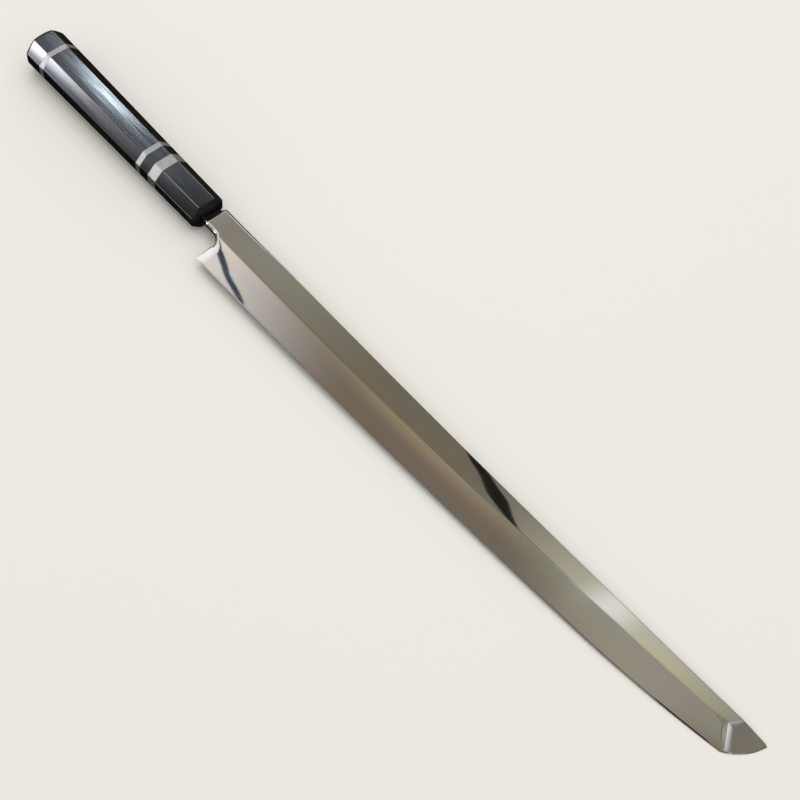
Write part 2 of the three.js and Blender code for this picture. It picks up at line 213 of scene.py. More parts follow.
class Finishes(bpy.types.PropertyGroup):
    """Colours of the finishes"""

    steel: colour("Steel", "#C3C6C1", "Polished carbon steel")
    steel_straw: colour("Steel, straw tint", "#CDC6B1", "Faint straw tint left on the steel")
    steel_rose: colour("Steel, rose tint", "#CCC1B9", "Faint rose tint left on the steel")
    nickel: colour("Nickel silver", "#D8D8D4", "Satin nickel silver")
    nickel_worn: colour("Nickel silver, lines", "#C0C0BC", "Sanding lines in the nickel silver")
    horn: colour("Horn", "#0E0F11", "Black buffalo horn")
    horn_streak: colour("Horn, streaks", "#26272A", "Paler streaks in the horn")
    # Pale colour painted along the horn's ridges as a highlight, where light would glint on them.
    horn_ridge_highlight: colour("Horn, ridges", "#9A9A98", "Ridges of the horn, worn pale")
    ebony: colour("Ebony", "#0B0A0A", "Dark ground of the ebony")
    ebony_grain: colour("Ebony, grain", "#221D1A", "Paler grain of the ebony")
    hardwood: colour("Dowel wood", "#B98F5A", "Plain hardwood of the dowels")
    hardwood_grain: colour("Dowel grain", "#8F6A3E", "Darker grain of the dowels")
    resin: colour("Resin", "#15120F", "Dark bedding resin")
    resin_speck: colour("Resin specks", "#241F1A", "Paler specks in the resin")


class StageSettings(bpy.types.PropertyGroup):
    """Camera, floor and light"""

    floor: colour("Floor", "#F0EEE9", "Pale plain floor")
    lens: bpy.props.FloatProperty(
        name="Lens", description="Focal length on a 36 mm sensor", default=76.5, min=1.0, unit="CAMERA"
    )
    roll: bpy.props.FloatProperty(
        name="Roll",
        description="Turn of the camera about its axis",
        default=math.radians(5.22),
        subtype="ANGLE",
    )
    key_power: bpy.props.FloatProperty(
        name="Key light",
        description="Power of the large soft light overhead",
        default=9.0,
        min=0.0,
        unit="POWER",
    )


def mix(a, b, share):
    """Number or vector between two others."""
    return a + (b - a) * share


def smooth(share):
    """Soft step from 0 to 1."""
    share = min(1.0, max(0.0, share))
    return share * share * (3.0 - 2.0 * share)


def hump(share):
    """Even rise and fall from 0 over 1 back to 0."""
    return 4 * share * (1 - share)


def curve_rise(start, run, rise):
    """Height of a line that starts level and bends up to a rise at the end of its run."""
    return rise * max(0.0, start / run) ** 2


def bend(start, corner, end, share):
    """Point on the soft bend that rounds off a corner."""
    return mix(mix(start, corner, share), mix(corner, end, share), share)


def rounded(points, ease, hold, closed):
    """Polyline whose corners are rounded, each with a holding point on both sides."""
    made = []
    last = len(points) - 1
    for index, corner in enumerate(points):
        if not closed and index in (0, last):
            made.append(corner)
            continue
        before = (points[index - 1] - corner).normalized()
        after = (points[(index + 1) % len(points)] - corner).normalized()
        start = corner + before * ease
        end = corner + after * ease
        made.append(start + before * hold)
        made += [bend(start, corner, end, step / CORNER_STEPS) for step in range(CORNER_STEPS + 1)]
        made.append(end + after * hold)
    return made


def add_grid(bm, rows, closed=False, tag=0):
    """Faces between rows of points, each row closed into a ring if asked."""
    layer = bm.faces.layers.int["ground"]
    made = [[bm.verts.new(point) for point in row] for row in rows]
    for lower, upper in zip(made, made[1:]):
        count = len(lower)
        for index in range(count if closed else count - 1):
            after = (index + 1) % count
            face = bm.faces.new((lower[index], lower[after], upper[after], upper[index]))
            face[layer] = tag
    return made


def new_mesh():
    """Empty mesh under construction, with a layer that tells apart the faces ground in one go."""
    bm = bmesh.new()
    bm.faces.layers.int.new("ground")
    return bm


def weld(bm):
    """Joins the points that lie on each other and turns all faces outwards."""
    bmesh.ops.remove_doubles(bm, verts=bm.verts, dist=WELD)
    bmesh.ops.dissolve_degenerate(bm, edges=bm.edges, dist=WELD)
    bmesh.ops.recalc_face_normals(bm, faces=bm.faces)


def as_object(bm, name):
    """New object from a mesh under construction."""
    mesh = bpy.data.meshes.new(name)
    bm.to_mesh(mesh)
    bm.free()
    made = bpy.data.objects.new(name, mesh)
    bpy.context.scene.collection.objects.link(made)
    return made


def closed_piece(name, rings, domed=False):
    """Closed piece from its rings, with flat ends, or with a dome at the last ring."""
    bm = new_mesh()
    ends = add_grid(bm, rings, closed=True)
    bm.faces.new(ends[0])
    if not domed:
        bm.faces.new(ends[-1])
    weld(bm)
    return as_object(bm, name)


def combine(target, others, operation):
    """Joins other closed objects to a target, or cuts them out of it, and removes them."""
    for other in others:
        step = target.modifiers.new(operation, "BOOLEAN")
        step.operation = operation
        step.solver = "EXACT"
        step.object = other
    graph = bpy.context.evaluated_depsgraph_get()
    result = bpy.data.meshes.new_from_object(target.evaluated_get(graph))
    target.modifiers.clear()
    old = target.data
    target.data = result
    bpy.data.meshes.remove(old)
    for other in others:
        bpy.data.meshes.remove(other.data)
    if len(result.polygons) == 0:
        raise RuntimeError(f"nothing is left of {target.name}")


def shade(target):
    """Smooth shading that keeps the lines between differently ground faces and the corners sharp."""
    bm = bmesh.new()
    bm.from_mesh(target.data)
    weld(bm)
    layer = bm.faces.layers.int["ground"]
    for face in bm.faces:
        face.smooth = True
    for line in bm.edges:
        if len(line.link_faces) != 2:
            raise RuntimeError(f"{target.name} isn't closed")
        first, second = line.link_faces
        line.smooth = first[layer] == second[layer] and line.calc_face_angle() < CORNER_CREASE
    bm.to_mesh(target.data)
    bm.free()


def cover(piece, material):
    """Gives a piece its one finish."""
    piece.data.materials.clear()
    piece.data.materials.append(material)


def install(piece, node, material):
    """Lays a finished piece in the knife's place, where it stands for a node."""
    cover(piece, material)
    piece.matrix_world = lay_matrix(bpy.context.scene)
    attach(piece, BODY)
    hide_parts(node)


def lay_matrix(scene):
    """Turn and place that lay the knife on its ferrule and its tip."""
    blade = scene.knife_blade
    handle = scene.knife_handle
    tip = blade.shoulder_gap + blade.neck_length + blade.edge_length
    share = handle.front_chamfer / handle_length(handle)
    front_drop = mix(handle.front_thickness, handle.butt_thickness, share) / 2
    tip_drop = blade.tip_thickness / 2
    tilt = math.atan2(front_drop - tip_drop, tip + handle.front_chamfer)
    low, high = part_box("blade")
    place = Vector((
        high.x - tip * math.cos(tilt) + tip_drop * math.sin(tilt),
        low.y + blade.heel_below,
        tip * math.sin(tilt) + tip_drop * math.cos(tilt),
    ))
    return Matrix.Translation(place) @ Matrix.Rotation(tilt, 4, "Y")


def station(scene, x, aside=0.0):
    """Place along the knife of a point at x on the table, some way aside of the knife's axis."""
    lay = lay_matrix(scene)
    tilt = lay.to_euler().y
    return (x - lay.translation.x + aside * math.sin(tilt)) / math.cos(tilt)


def handle_length(handle):
    """Whole length of the handle."""
    return sum(getattr(handle, node) for node in HANDLE_ORDER)


class BladeShape:
    """Outlines and heights of the ground blade."""

    def __init__(self, size, point):
        self.size = size
        self.point = point
        self.shoulder = size.shoulder_gap
        self.heel = self.shoulder + size.neck_length
        self.tip = self.heel + size.edge_length
        self.fillet = Vector((self.heel - size.neck_fillet, -size.ridge_below - size.neck_fillet))
        self.rear_radius = size.neck_fillet + size.neck_ease
        self.ridge_start = self.fillet.x + math.sqrt(self.rear_radius**2 - size.neck_fillet**2)
        self.set_point()

    def set_point(self):
        """Corners of the point in plan."""
        point = self.point
        ridge_end = self.tip - point.ridge_end
        corner = self.tip - point.corner_back
        edge = self.tip - point.edge_back
        spine = self.tip - point.spine_back
        self.tip_corner = Vector((self.tip, self.spine(self.tip) - point.tip_fall))
        self.ridge_corner = Vector((ridge_end, self.ridge(ridge_end)))
        self.flat_corner = Vector((corner, self.ridge(corner) + point.corner_rise))
        self.edge_corner = Vector((edge, self.edge(edge)))
        self.spine_corner = Vector((spine, self.top(spine)))
        self.facet_corner = self.flat_corner + Vector((point.band_width, 0))
        chord = self.tip_corner - self.edge_corner
        across = Vector((-chord.y, chord.x)).normalized()
        reach = math.sqrt(point.arc_radius**2 - chord.length_squared / 4)
        self.arc_centre = (self.edge_corner + self.tip_corner) / 2 + across * reach
        self.arc_turn = 2 * math.asin(chord.length / 2 / point.arc_radius)
        self.arc_share = (point.band_foot + point.band_edge) / chord.length
        self.band_start = self.arc(point.band_foot / chord.length)
        self.facet_edge = self.arc(self.arc_share)
        self.facet_spine = Vector((spine + point.band_spine, self.top(spine + point.band_spine)))
        self.set_facet()

    def set_facet(self):
        """Plane of the point's facet, through its rear corner, its start on the edge and the tip."""
        start = self.ridge_height(self.flat_corner.x)
        edge = self.lip(self.facet_edge.x) + self.point.facet_edge_lip
        tip = self.lip(self.tip) + self.point.facet_tip_lip
        self.facet_start = self.lift(self.facet_corner, start - self.point.band_drop)
        down = self.lift(self.facet_edge, edge) - self.facet_start
        ahead = self.lift(self.tip_corner, tip) - self.facet_start
        self.facet_normal = down.cross(ahead)

    def facet_height(self, place):
        """Height of the point's facet, which stays above the cutting edge."""
        fall = self.facet_normal.xy.dot(place - self.facet_start.xy) / self.facet_normal.z
        least = self.lip(place.x) + LIP_SHARE * self.size.edge_thickness
        return max(self.facet_start.z - fall, least)

    @staticmethod
    def lift(place, height):
        """Point in space above a place in plan."""
        return Vector((place.x, place.y, height))

    def spine(self, x):
        """Line of the spine, straight and then rising."""
        start = self.size.spine_straight
        return self.size.spine_above + curve_rise(x - start, self.tip - start, self.size.spine_rise)

    def ridge(self, x):
        """Line of the ridge between flat and bevel."""
        rise = curve_rise(x - self.heel, self.size.edge_length, self.size.ridge_rise)
        return rise - self.size.ridge_below

    def edge(self, x):
        """Line of the cutting edge, with its belly before the tip."""
        even = curve_rise(x - self.heel, self.size.edge_length, self.size.edge_rise)
        run = self.size.belly_length
        belly = curve_rise(x - self.tip + run, run, self.size.belly_rise)
        return even + belly - self.size.heel_below

    def half(self, x):
        """Half the blade's thickness."""
        share = (x - self.shoulder) / (self.tip - self.shoulder)
        return mix(self.size.neck_thickness, self.size.tip_thickness, share) / 2

    def corner(self, x):
        """Radius of the outer corners, large round the neck and small along the spine."""
        share = smooth((x - self.heel - self.size.neck_ease) / self.size.neck_ease_run)
        return mix(self.size.neck_ease, self.size.corner_ease, share)

    def ease(self, x, thickness):
        """Radius of an outer corner, smaller where the steel is thin."""
        return min(self.corner(x), EASE_SHARE * thickness)

    def shoulder_inset(self, x):
        """How far the rounding of the shoulder's corners in plan takes in the flat's borders."""
        radius = self.size.shoulder_round
        run = max(0.0, radius + self.shoulder + self.size.neck_ease - x)
        return radius - math.sqrt(max(0.0, radius**2 - run**2))

    def top(self, x):
        """Upper border of the flat and of the point, inside the eased corner of the spine."""
        start = self.tip - self.point.spine_drop
        if x <= start:
            return self.spine(x) - self.corner(x) - self.shoulder_inset(x)
        run = self.point.spine_drop
        share = (x - start) / run
        chord = mix(self.spine(start), self.spine(self.tip) - self.point.tip_fall, share)
        bulge = hump(share) * run**2 / (8 * self.point.drop_radius)
        fade = smooth((1 - share) / TIP_FADE)
        return chord + bulge - self.size.corner_ease * fade

    def arc(self, share):
        """Place on the rounded edge of the point, from its corner on the edge to the tip."""
        start = self.edge_corner - self.arc_centre
        turn = self.arc_turn * share
        spun = Vector((
            start.x * math.cos(turn) - start.y * math.sin(turn),
            start.x * math.sin(turn) + start.y * math.cos(turn),
        ))
        return self.arc_centre + spun

    def lip(self, x):
        """Height of the cutting edge."""
        return self.size.edge_thickness - self.half(x)

    def ridge_height(self, x):
        """Height of the ridge between flat and bevel."""
        return self.half(x) - self.size.flat_crown - self.size.ridge_fall

    def bevel_foot(self, x):
        """Height at which the long bevel meets the small bevel along the edge."""
        slope = 2 * self.half(x) / (self.ridge(x) - self.edge(x))
        return self.lip(x) + self.size.edge_bevel * (slope + EDGE_STEEPER)

    def low(self, x):
        """Lower border of the flat: the neck's underside, its fillet and then the ridge."""
        run = max(0.0, x - self.fillet.x)
        if run >= self.rear_radius:
            return self.ridge(x)
        neck = self.fillet.y + math.sqrt(self.rear_radius**2 - run**2) + self.shoulder_inset(x)
        return max(self.ridge(x), neck)

    def rear(self, y):
        """Rear border of the bevel: the fillet and then the straight heel."""
        above = y - self.fillet.y
        if above <= 0:
            thickness = (y + self.size.heel_below) / (self.fillet.y + self.size.heel_below)
            return self.heel + self.ease(self.heel, thickness * self.size.neck_thickness / 2)
        return self.fillet.x + math.sqrt(max(0.0, self.rear_radius**2 - above**2))

    def roll(self, x, y, thickness):
        """How far polishing has rolled off the bevel near the heel, more so towards its corner."""
        gap = x - self.heel
        if y > self.fillet.y:
            gap = math.hypot(x - self.fillet.x, y - self.fillet.y) - self.size.neck_fillet
        down = (self.ridge(x) - y) / (self.ridge(x) - self.edge(x))
        share = max(0.0, 1 - gap / self.size.roll_width)
        deepest = self.size.roll_depth * thickness / (thickness + self.size.roll_depth)
        return smooth(ROLL_BUILD * down) * deepest * share**2

    def flat_height(self, x, share):
        """Height of the flat at a share of the way from its lower to its upper border."""
        near_ridge = max(0.0, 1 - share * (self.top(x) - self.low(x)) / self.size.ridge_ease)
        worn = self.size.flat_crown * abs(2 * share - 1) ** 4 + self.size.ridge_fall * near_ridge**2
        return self.half(x) - worn

    def bevel_height(self, x, y):
        """Height of the long bevel, and of the small one below it."""
        down = self.ridge(x) - y
        width = self.ridge(x) - self.edge(x) - self.size.edge_bevel
        if down > width:
            share = (down - width) / self.size.edge_bevel
            height = mix(self.bevel_foot(x), self.lip(x), share)
        else:
            share = down / width
            height = mix(self.ridge_height(x), self.bevel_foot(x), share)
            height += self.size.bevel_belly * hump(share)
        return height - self.roll(x, y, height + self.half(x))

    def under(self, x, y):
        """Height of the back, hollow between its two rims."""
        run_in = smooth((x - self.heel - self.size.hollow_from_heel) / self.size.hollow_run_out)
        run_out = smooth((self.tip - self.size.hollow_from_tip - x) / self.size.hollow_run_out)
        low = self.edge(x) + self.size.edge_rim
        high = self.spine(x) - self.size.spine_rim
        share = min(1.0, max(0.0, (y - low) / (high - low)))
        return hump(share) * self.size.hollow_depth * run_in * run_out - self.half(x)

    def flat_rows(self, along):
        """Grid of the flat, from the shoulder to the point."""
        rows = []
        start = self.shoulder + self.size.neck_ease
        neck = [mix(start, self.ridge_start, (step / NECK_STEPS) ** 2) for step in range(NECK_STEPS)]
        stations = neck + [mix(self.ridge_start, self.ridge_corner.x, share) for share in along]
        for step in range(FLAT_STEPS + 2):
            row = []
            for x in stations:
                low = self.low(x)
                top = self.top(x)
                y = top
                if step <= FLAT_STEPS:
                    y = mix(low, self.spine(x) - self.size.spine_rim, (step / FLAT_STEPS) ** FLAT_CROWDING)
                share = (y - low) / (top - low)
                row.append(Vector((x, y, self.flat_height(x, share))))
            end = mix(self.flat_corner, self.spine_corner, share)
            last = row[-1].xy
            for facet_step in range(1, FACET_STEPS + 1):
                place = mix(last, end, facet_step / FACET_STEPS)
                row.append(self.lift(place, self.flat_height(place.x, share)))
            rows.append(row)
        return rows

    def bevel_line(self, x, step):
        """Place on one of the lines that run along the bevel from the ridge to the edge."""
        if step <= BEVEL_STEPS:
            return mix(self.ridge(x), self.edge(x) + self.size.edge_rim, step / BEVEL_STEPS)
        return self.edge(x) + (self.size.edge_bevel if step == BEVEL_STEPS + 1 else 0.0)

    def bevel_end(self, share):
        """End of the bevel at a share of the way down to the edge: a crease with a bent top."""
        straight = mix(self.tip - self.point.crease_back, self.edge_corner.x, share)
        width = self.ridge(self.heel) - self.edge(self.heel)
        near_top = max(0.0, 1 - share * width / self.point.crease_bend)
        return straight - (self.point.ridge_end - self.point.crease_back) * near_top**2

    def bevel_rows(self, along):
        """Grid of the long bevel, from the heel to the crease before the point."""
        rows = []
        for step in range(BEVEL_STEPS + 3):
            y = self.bevel_line(self.heel, step)
            first = self.rear(y)
            share = (y - self.ridge(self.heel)) / (self.edge(self.heel) - self.ridge(self.heel))
            last = self.bevel_end(share)
            row = []
            for part in along:
                x = mix(first, last, part)
                y = self.bevel_line(x, step)
                row.append(Vector((x, y, self.bevel_height(x, y))))
            rows.append(row)
        return rows

    def down_to_edge(self, corner, edge, inward):
        """Places on a line from a corner down to the edge, spaced as the bevel's lines are."""
        rim = edge + inward * self.size.edge_rim
        places = [mix(corner, rim, step / BEVEL_STEPS) for step in range(BEVEL_STEPS + 1)]
        return places + [edge + inward * self.size.edge_bevel, edge.copy()]

    def crease_line(self):
        """Line from the flat's corner down to the edge, where the hollow band starts."""
        inward = (self.arc_centre - self.band_start).normalized()
        places = self.down_to_edge(self.flat_corner, self.band_start, inward)
        start = self.ridge_height(self.flat_corner.x)
        foot = places[-2]
        end = self.bevel_foot(foot.x) + self.point.corner_foot
        line = []
        for place in places[:-1]:
            share = (self.flat_corner.y - place.y) / (self.flat_corner.y - foot.y)
            line.append(self.lift(place, mix(start, end, share)))
        line.append(self.lift(places[-1], self.lip(places[-1].x)))
        return line

    def ridge_facet_rows(self, bevel, crease):
        """Grid of the narrow facet before the hollow band, with a groove at the crease."""
        rows = []
        for index, (row, end) in enumerate(zip(bevel, crease)):
            start = row[-1]
            cut = 0 < index < len(crease) - 2
            width = (end - start).length
            groove = min(self.point.groove_width / width, WIDEST_GROOVE) if cut else 2 / FACET_STEPS
            evenly = [mix(groove, 1.0, step / (FACET_STEPS - 2)) for step in range(FACET_STEPS - 1)]
            made = [mix(start, end, share) for share in [0.0, groove / 2] + evenly]
            if cut:
                fade = min(1.0, index / GROOVE_RUN_IN)
                made[1].z -= fade * self.point.groove_depth * groove * width / self.point.groove_width
            rows.append(made)
        return rows

    def band_row(self, left, right, on_edge):
        """Row across the hollow band, steep at first and nearly level where the point's facet starts."""
        row = [left]
        drop = left.z - self.facet_height(right)
        for step in range(1, BAND_STEPS + 1):
            share = step / BAND_STEPS
            place = mix(left.xy, right, share)
            height = left.z - drop * mix(1 - (1 - share) ** 2, share, BAND_EVENNESS)
            row.append(self.lift(place, self.lip(place.x) if on_edge else height))
        return row

    def band_rows(self, flat, crease):
        """Grids of the hollow band's lower and upper arms."""
        inward = (self.arc_centre - self.facet_edge).normalized()
        rights = self.down_to_edge(self.facet_corner, self.facet_edge, inward)
        last = len(crease) - 1
        lower = []
        for index, (left, right) in enumerate(zip(crease, rights)):
            lower.append(self.band_row(left, right, index == last))
        upper = []
        for row in flat:
            left = row[-1]
            share = (left.y - self.flat_corner.y) / (self.spine_corner.y - self.flat_corner.y)
            upper.append(self.band_row(left, mix(self.facet_corner, self.facet_spine, share), False))
        return lower, upper

    def point_rows(self, lower, upper):
        """Grid of the point's facet, with the small bevel along its rounded edge."""
        lefts = [row[-1] for row in reversed(lower)] + [row[-1] for row in upper[1:]]
        last = len(lefts) - 1
        rows = []
        for index, left in enumerate(lefts):
            on_arc = index <= TIP_ARC_STEPS
            if on_arc:
                share = index / TIP_ARC_STEPS
                end = self.arc(mix(self.arc_share, 1.0, share))
            else:
                share = (index - TIP_ARC_STEPS) / (last - TIP_ARC_STEPS)
                x = mix(self.tip, self.facet_spine.x, share)
                end = Vector((x, self.top(x)))
            run = (end - left.xy).length
            rim = max(LEAST_FACET, 1 - self.point.facet_bevel / run) if run > 0 else 1.0
            row = [left]
            for step in range(1, FACET_STEPS + 1):
                place = mix(left.xy, end, rim * step / FACET_STEPS)
                row.append(self.lift(place, left.z if index == 0 else self.facet_height(place)))
            row.append(self.lift(end, self.lip(end.x) if on_arc else self.facet_height(end)))
            rows.append(row)
        return rows


def outline_of(bm):
    """Border of an open surface, in order and counter-clockwise in plan."""
    start = next(line for line in bm.edges if line.is_boundary)
    loop = [start.verts[0]]
    line = start
    corner = start.verts[1]
    while corner is not loop[0]:
        loop.append(corner)
        line = next(other for other in corner.link_edges if other.is_boundary and other is not line)
        corner = line.other_vert(corner)
    places = [corner.co.copy() for corner in loop]
    area = sum(a.x * b.y - b.x * a.y for a, b in zip(places, places[1:] + places[:1]))
    return places if area > 0 else places[::-1]


def rim_rings(shape, outline):
    """Rings of the blade's narrow sides, from its upper border round eased corners to its back."""
    uppers = [[] for _ in range(CORNER_STEPS + 1)]
    lowers = [[] for _ in range(CORNER_STEPS + 1)]
    for index, place in enumerate(outline):
        before = (place - outline[index - 1]).xy.normalized()
        after = (outline[(index + 1) % len(outline)] - place).xy.normalized()
        out_before = Vector((before.y, -before.x))
        out_after = Vector((after.y, -after.x))
        outward = (out_before + out_after) / max(LEAST_MITRE, 1 + out_before.dot(out_after))
        back = shape.under(place.x, place.y)
        radius = shape.ease(place.x, place.z - back)
        for step in range(CORNER_STEPS + 1):
            turn = math.pi / 2 * step / CORNER_STEPS
            aside = place.xy + outward * radius * math.sin(turn)
            fall = radius * (1 - math.cos(turn))
            uppers[step].append(shape.lift(aside, place.z - fall))
            lowers[step].append(shape.lift(aside, back + fall))
    return uppers + lowers[::-1]


def tang_block(scene, margin, rear, front):
    """Tapered block of the tang between two stations, grown all round by a margin."""
    blade = scene.knife_blade
    handle = scene.knife_handle
    far_end = station(scene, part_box("blade")[0].x)
    near_half = blade.neck_thickness / 2 - handle.tang_step_side
    rings = []
    for x in (rear, front):
        share = (x - far_end) / (blade.shoulder_gap - far_end)
        under = mix(-handle.tang_end_height / 2, handle.tang_step_under - blade.ridge_below, share) - margin
        top = mix(handle.tang_end_height / 2, blade.spine_above - handle.tang_step_top, share) + margin
        side = mix(handle.tang_end_thickness / 2, near_half, share) + margin
        corners = ((under, -side), (top, -side), (top, side), (under, side))
        rings.append([Vector((x, y, z)) for y, z in corners])
    return closed_piece("tang_block", rings)


def ground_blade(scene):
    """Blade with its flat, bevel, hollow back, eased spine and point, in one piece with the tang."""
    shape = BladeShape(scene.knife_blade, scene.knife_point)
    reach = math.expm1(LENGTH_CROWDING)
    along = [math.expm1(LENGTH_CROWDING * step / LENGTH_STEPS) / reach for step in range(LENGTH_STEPS + 1)]
    flat = shape.flat_rows(along)
    bevel = shape.bevel_rows(along)
    crease = shape.crease_line()
    ridge = shape.ridge_facet_rows(bevel, crease)
    lower, upper = shape.band_rows(flat, crease)
    point = shape.point_rows(lower, upper)
    fields = [flat, bevel[:-1], ridge[:-1], lower[:-1], upper, [row[:-1] for row in point]]
    edge_strips = [bevel[-2:], ridge[-2:], lower[-2:], [row[-2:] for row in point]]
    edge_tag = len(fields) + 1

    bm = new_mesh()
    for index, rows in enumerate(fields):
        add_grid(bm, rows, tag=index + 1)
    for rows in edge_strips:
        add_grid(bm, rows, tag=edge_tag)
    weld(bm)
    outline = outline_of(bm)
    for rows in fields + edge_strips:
        backs = [[shape.lift(place, shape.under(place.x, place.y)) for place in row] for row in rows]
        add_grid(bm, backs, tag=edge_tag + 1)
    add_grid(bm, rim_rings(shape, outline), closed=True)
    weld(bm)
    blade = as_object(bm, "blade_ground")

    far_end = station(scene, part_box("blade")[0].x)
    tang = tang_block(scene, 0.0, far_end, shape.shoulder + 2 * scene.knife_blade.neck_ease)
    combine(blade, [tang], "UNION")
    shade(blade)
    return blade


class HandleShape:
    """Octagon of the handle and the stations of its joints."""

    def __init__(self, size):
        self.size = size
        self.butt = -handle_length(size)

    def octagon(self, x, inset=0.0):
        """Ring of the octagon at a station, with eased ridges and crowned sides, moved in by an inset."""
        size = self.size
        share = x / self.butt
        inset += size.facet_crown
        y = mix(size.front_height, size.butt_height, share) / 2 - inset
        z = mix(size.front_thickness, size.butt_thickness, share) / 2 - inset
        leg = mix(size.front_leg, size.butt_leg, share) - (2 - math.sqrt(2)) * inset
        corners = [
            (y, leg - z), (y, z - leg), (y - leg, z), (leg - y, z),
            (-y, z - leg), (-y, leg - z), (leg - y, -z), (y - leg, -z),
        ]
        eased = rounded([Vector(corner) for corner in corners], size.ridge_ease, size.ridge_ease, True)
        per_corner = len(eased) // len(corners)
        ring = []
        for index, place in enumerate(eased):
            ring.append(place)
            if index % per_corner == per_corner - 1:
                ring += self.crowned(place, eased[(index + 1) % len(eased)])
        return [Vector((x, place.x, place.y)) for place in ring]

    def crowned(self, start, end):
        """Places along one side of the octagon, bulging outwards in the middle."""
        along = (end - start).normalized()
        outward = Vector((-along.y, along.x))
        if outward.dot(start + end) < 0:
            outward = -outward
        crown = outward * self.size.facet_crown
        shares = [step / CROWN_STEPS for step in range(1, CROWN_STEPS)]
        return [mix(start, end, share) + crown * hump(share) for share in shares]

    def ends(self, node):
        """Stations of a piece's front and rear ends, half a glue line inside its joints."""
        before = HANDLE_ORDER[: HANDLE_ORDER.index(node)]
        front = -sum(getattr(self.size, other) for other in before)
        line = self.size.glue_line / 2
        return front - line, front - getattr(self.size, node) + line


def bore_for(scene, node, gap):
    """Rod that leaves a gap round a hidden dowel or bedding, wider in front, where bores in line join."""
    low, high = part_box(node)
    radius = (high.y - low.y) / 2
    rear = station(scene, low.x, radius) - gap
    front = station(scene, high.x, -radius) + 2 * gap
    turns = [2 * math.pi * step / BORE_SIDES for step in range(BORE_SIDES)]
    wall = [(math.cos(turn) * (radius + gap), math.sin(turn) * (radius + gap)) for turn in turns]
    return closed_piece("bore", [[Vector((x, y, z)) for y, z in wall] for x in (rear, front)])


def handle_segment(scene, node, made, bores):
    """Plain octagonal length of handle, bored for its dowels."""
    size = scene.knife_handle
    shape = HandleShape(size)
    piece = closed_piece(f"{node}_{made}", [shape.octagon(end) for end in shape.ends(node)])
    combine(piece, [bore_for(scene, inside, size.glue_gap) for inside in bores], "DIFFERENCE")
    shade(piece)
    return piece


def ferrule_piece(scene):
    """Ferrule with a softened chamfer round its front face, the tang's mouth and the dowel's bore."""
    size = scene.knife_handle
    shape = HandleShape(size)
    rear = shape.ends("ferrule")[1]
    chamfer = size.front_chamfer
    profile = [Vector((rear, 0)), Vector((-chamfer, 0)), Vector((0, chamfer)), Vector((0, 2 * chamfer))]
    softened = rounded(profile, size.ridge_ease, size.ridge_ease / 2, False)
    rings = [shape.octagon(place.x, place.y) for place in reversed(softened)]
    piece = closed_piece("ferrule_polished", rings)
    mouth = tang_block(scene, size.mouth_margin, -size.ferrule_face, scene.knife_blade.shoulder_gap)
    combine(piece, [mouth, bore_for(scene, "tang_dowel", size.glue_gap)], "DIFFERENCE")
    shade(piece)
    return piece


def end_cap_piece(scene):
    """End cap whose octagon runs into a dome with an eased rim."""
    size = scene.knife_handle
    shape = HandleShape(size)
    front = shape.ends("end_cap")[0]
    centre = shape.butt + size.dome_radius
    columns = []
    for start, end in zip(shape.octagon(front), shape.octagon(shape.butt)):
        meet = end
        for _ in range(DOME_PASSES):
            reach = math.sqrt(size.dome_radius**2 - meet.yz.length_squared)
            meet = mix(start, end, (centre - reach - front) / (shape.butt - front))
        side = meet + (start - meet).normalized() * size.dome_ease
        inner = meet.yz.length - size.dome_ease
        radii = [inner * (1 - step / DOME_STEPS) for step in range(DOME_STEPS + 1)]
        dome = []
        for radius in radii:
            x = centre - math.sqrt(size.dome_radius**2 - radius**2)
            dome.append(Vector((x, *(meet.yz.normalized() * radius))))
        rim = [bend(side, meet, dome[0], step / CORNER_STEPS) for step in range(1, CORNER_STEPS)]
        columns.append([start, mix(start, side, DOME_HOLD), side] + rim + dome)
    piece = closed_piece("end_cap_polished", list(zip(*columns)), domed=True)
    combine(piece, [bore_for(scene, "cap_dowel", size.glue_gap)], "DIFFERENCE")
    shade(piece)
    return piece


def add_node(tree, kind, inputs=None, **settings):
    """Adds a node, sets it up, and gives each named input a value or a link from a socket or a node."""
    made = tree.nodes.new(kind)
    for key, value in settings.items():
        setattr(made, key, value)
    for key, value in (inputs or {}).items():
        if isinstance(value, bpy.types.Node):
            value = next(socket for socket in value.outputs if socket.enabled)
        if isinstance(value, bpy.types.NodeSocket):
            tree.links.new(value, made.inputs[key])
        else:
            made.inputs[key].default_value = value
    return made


def new_tree(owner):
    """Empty node tree of a new material or world."""
    owner.use_nodes = True
    owner.node_tree.nodes.clear()
    return owner.node_tree


def per_mm(*sizes):
    """Scale of a pattern from the real sizes of its features in millimetres."""
    return [1 / (size * MM) for size in sizes]


def even_finish(name, scale, detail, tones, inputs):
    """Material that goes from one tone to another over a pattern and is otherwise the same all over."""
    material = bpy.data.materials.new(name)
    tree = new_tree(material)
    place = add_node(tree, "ShaderNodeTexCoord").outputs["Object"]
    space = add_node(tree, "ShaderNodeMapping", {"Vector": place, "Scale": scale})
    share = add_node(tree, "ShaderNodeTexNoise", {"Vector": space, "Scale": 1.0, "Detail": detail})
    tone = add_node(tree, "ShaderNodeMix", {0: share, 6: tones[0], 7: tones[1]}, data_type="RGBA")
    shader = add_node(tree, "ShaderNodeBsdfPrincipled", {"Base Color": tone, **inputs})
    add_node(tree, "ShaderNodeOutputMaterial", {"Surface": shader})
    return material


# Limits between which most of a noise's values lie, and narrower ones for clearer tints
NOISE_SPAN = {1: 0.3, 2: 0.7}
TINT_SPAN = {1: 0.35, 2: 0.65}
# Half the turn from one side of the octagon to the next
HALF_TURN = math.pi / 8
# How bright the darker clouds of the floor are beside the paler ones
FLOOR_SHADE = 0.96


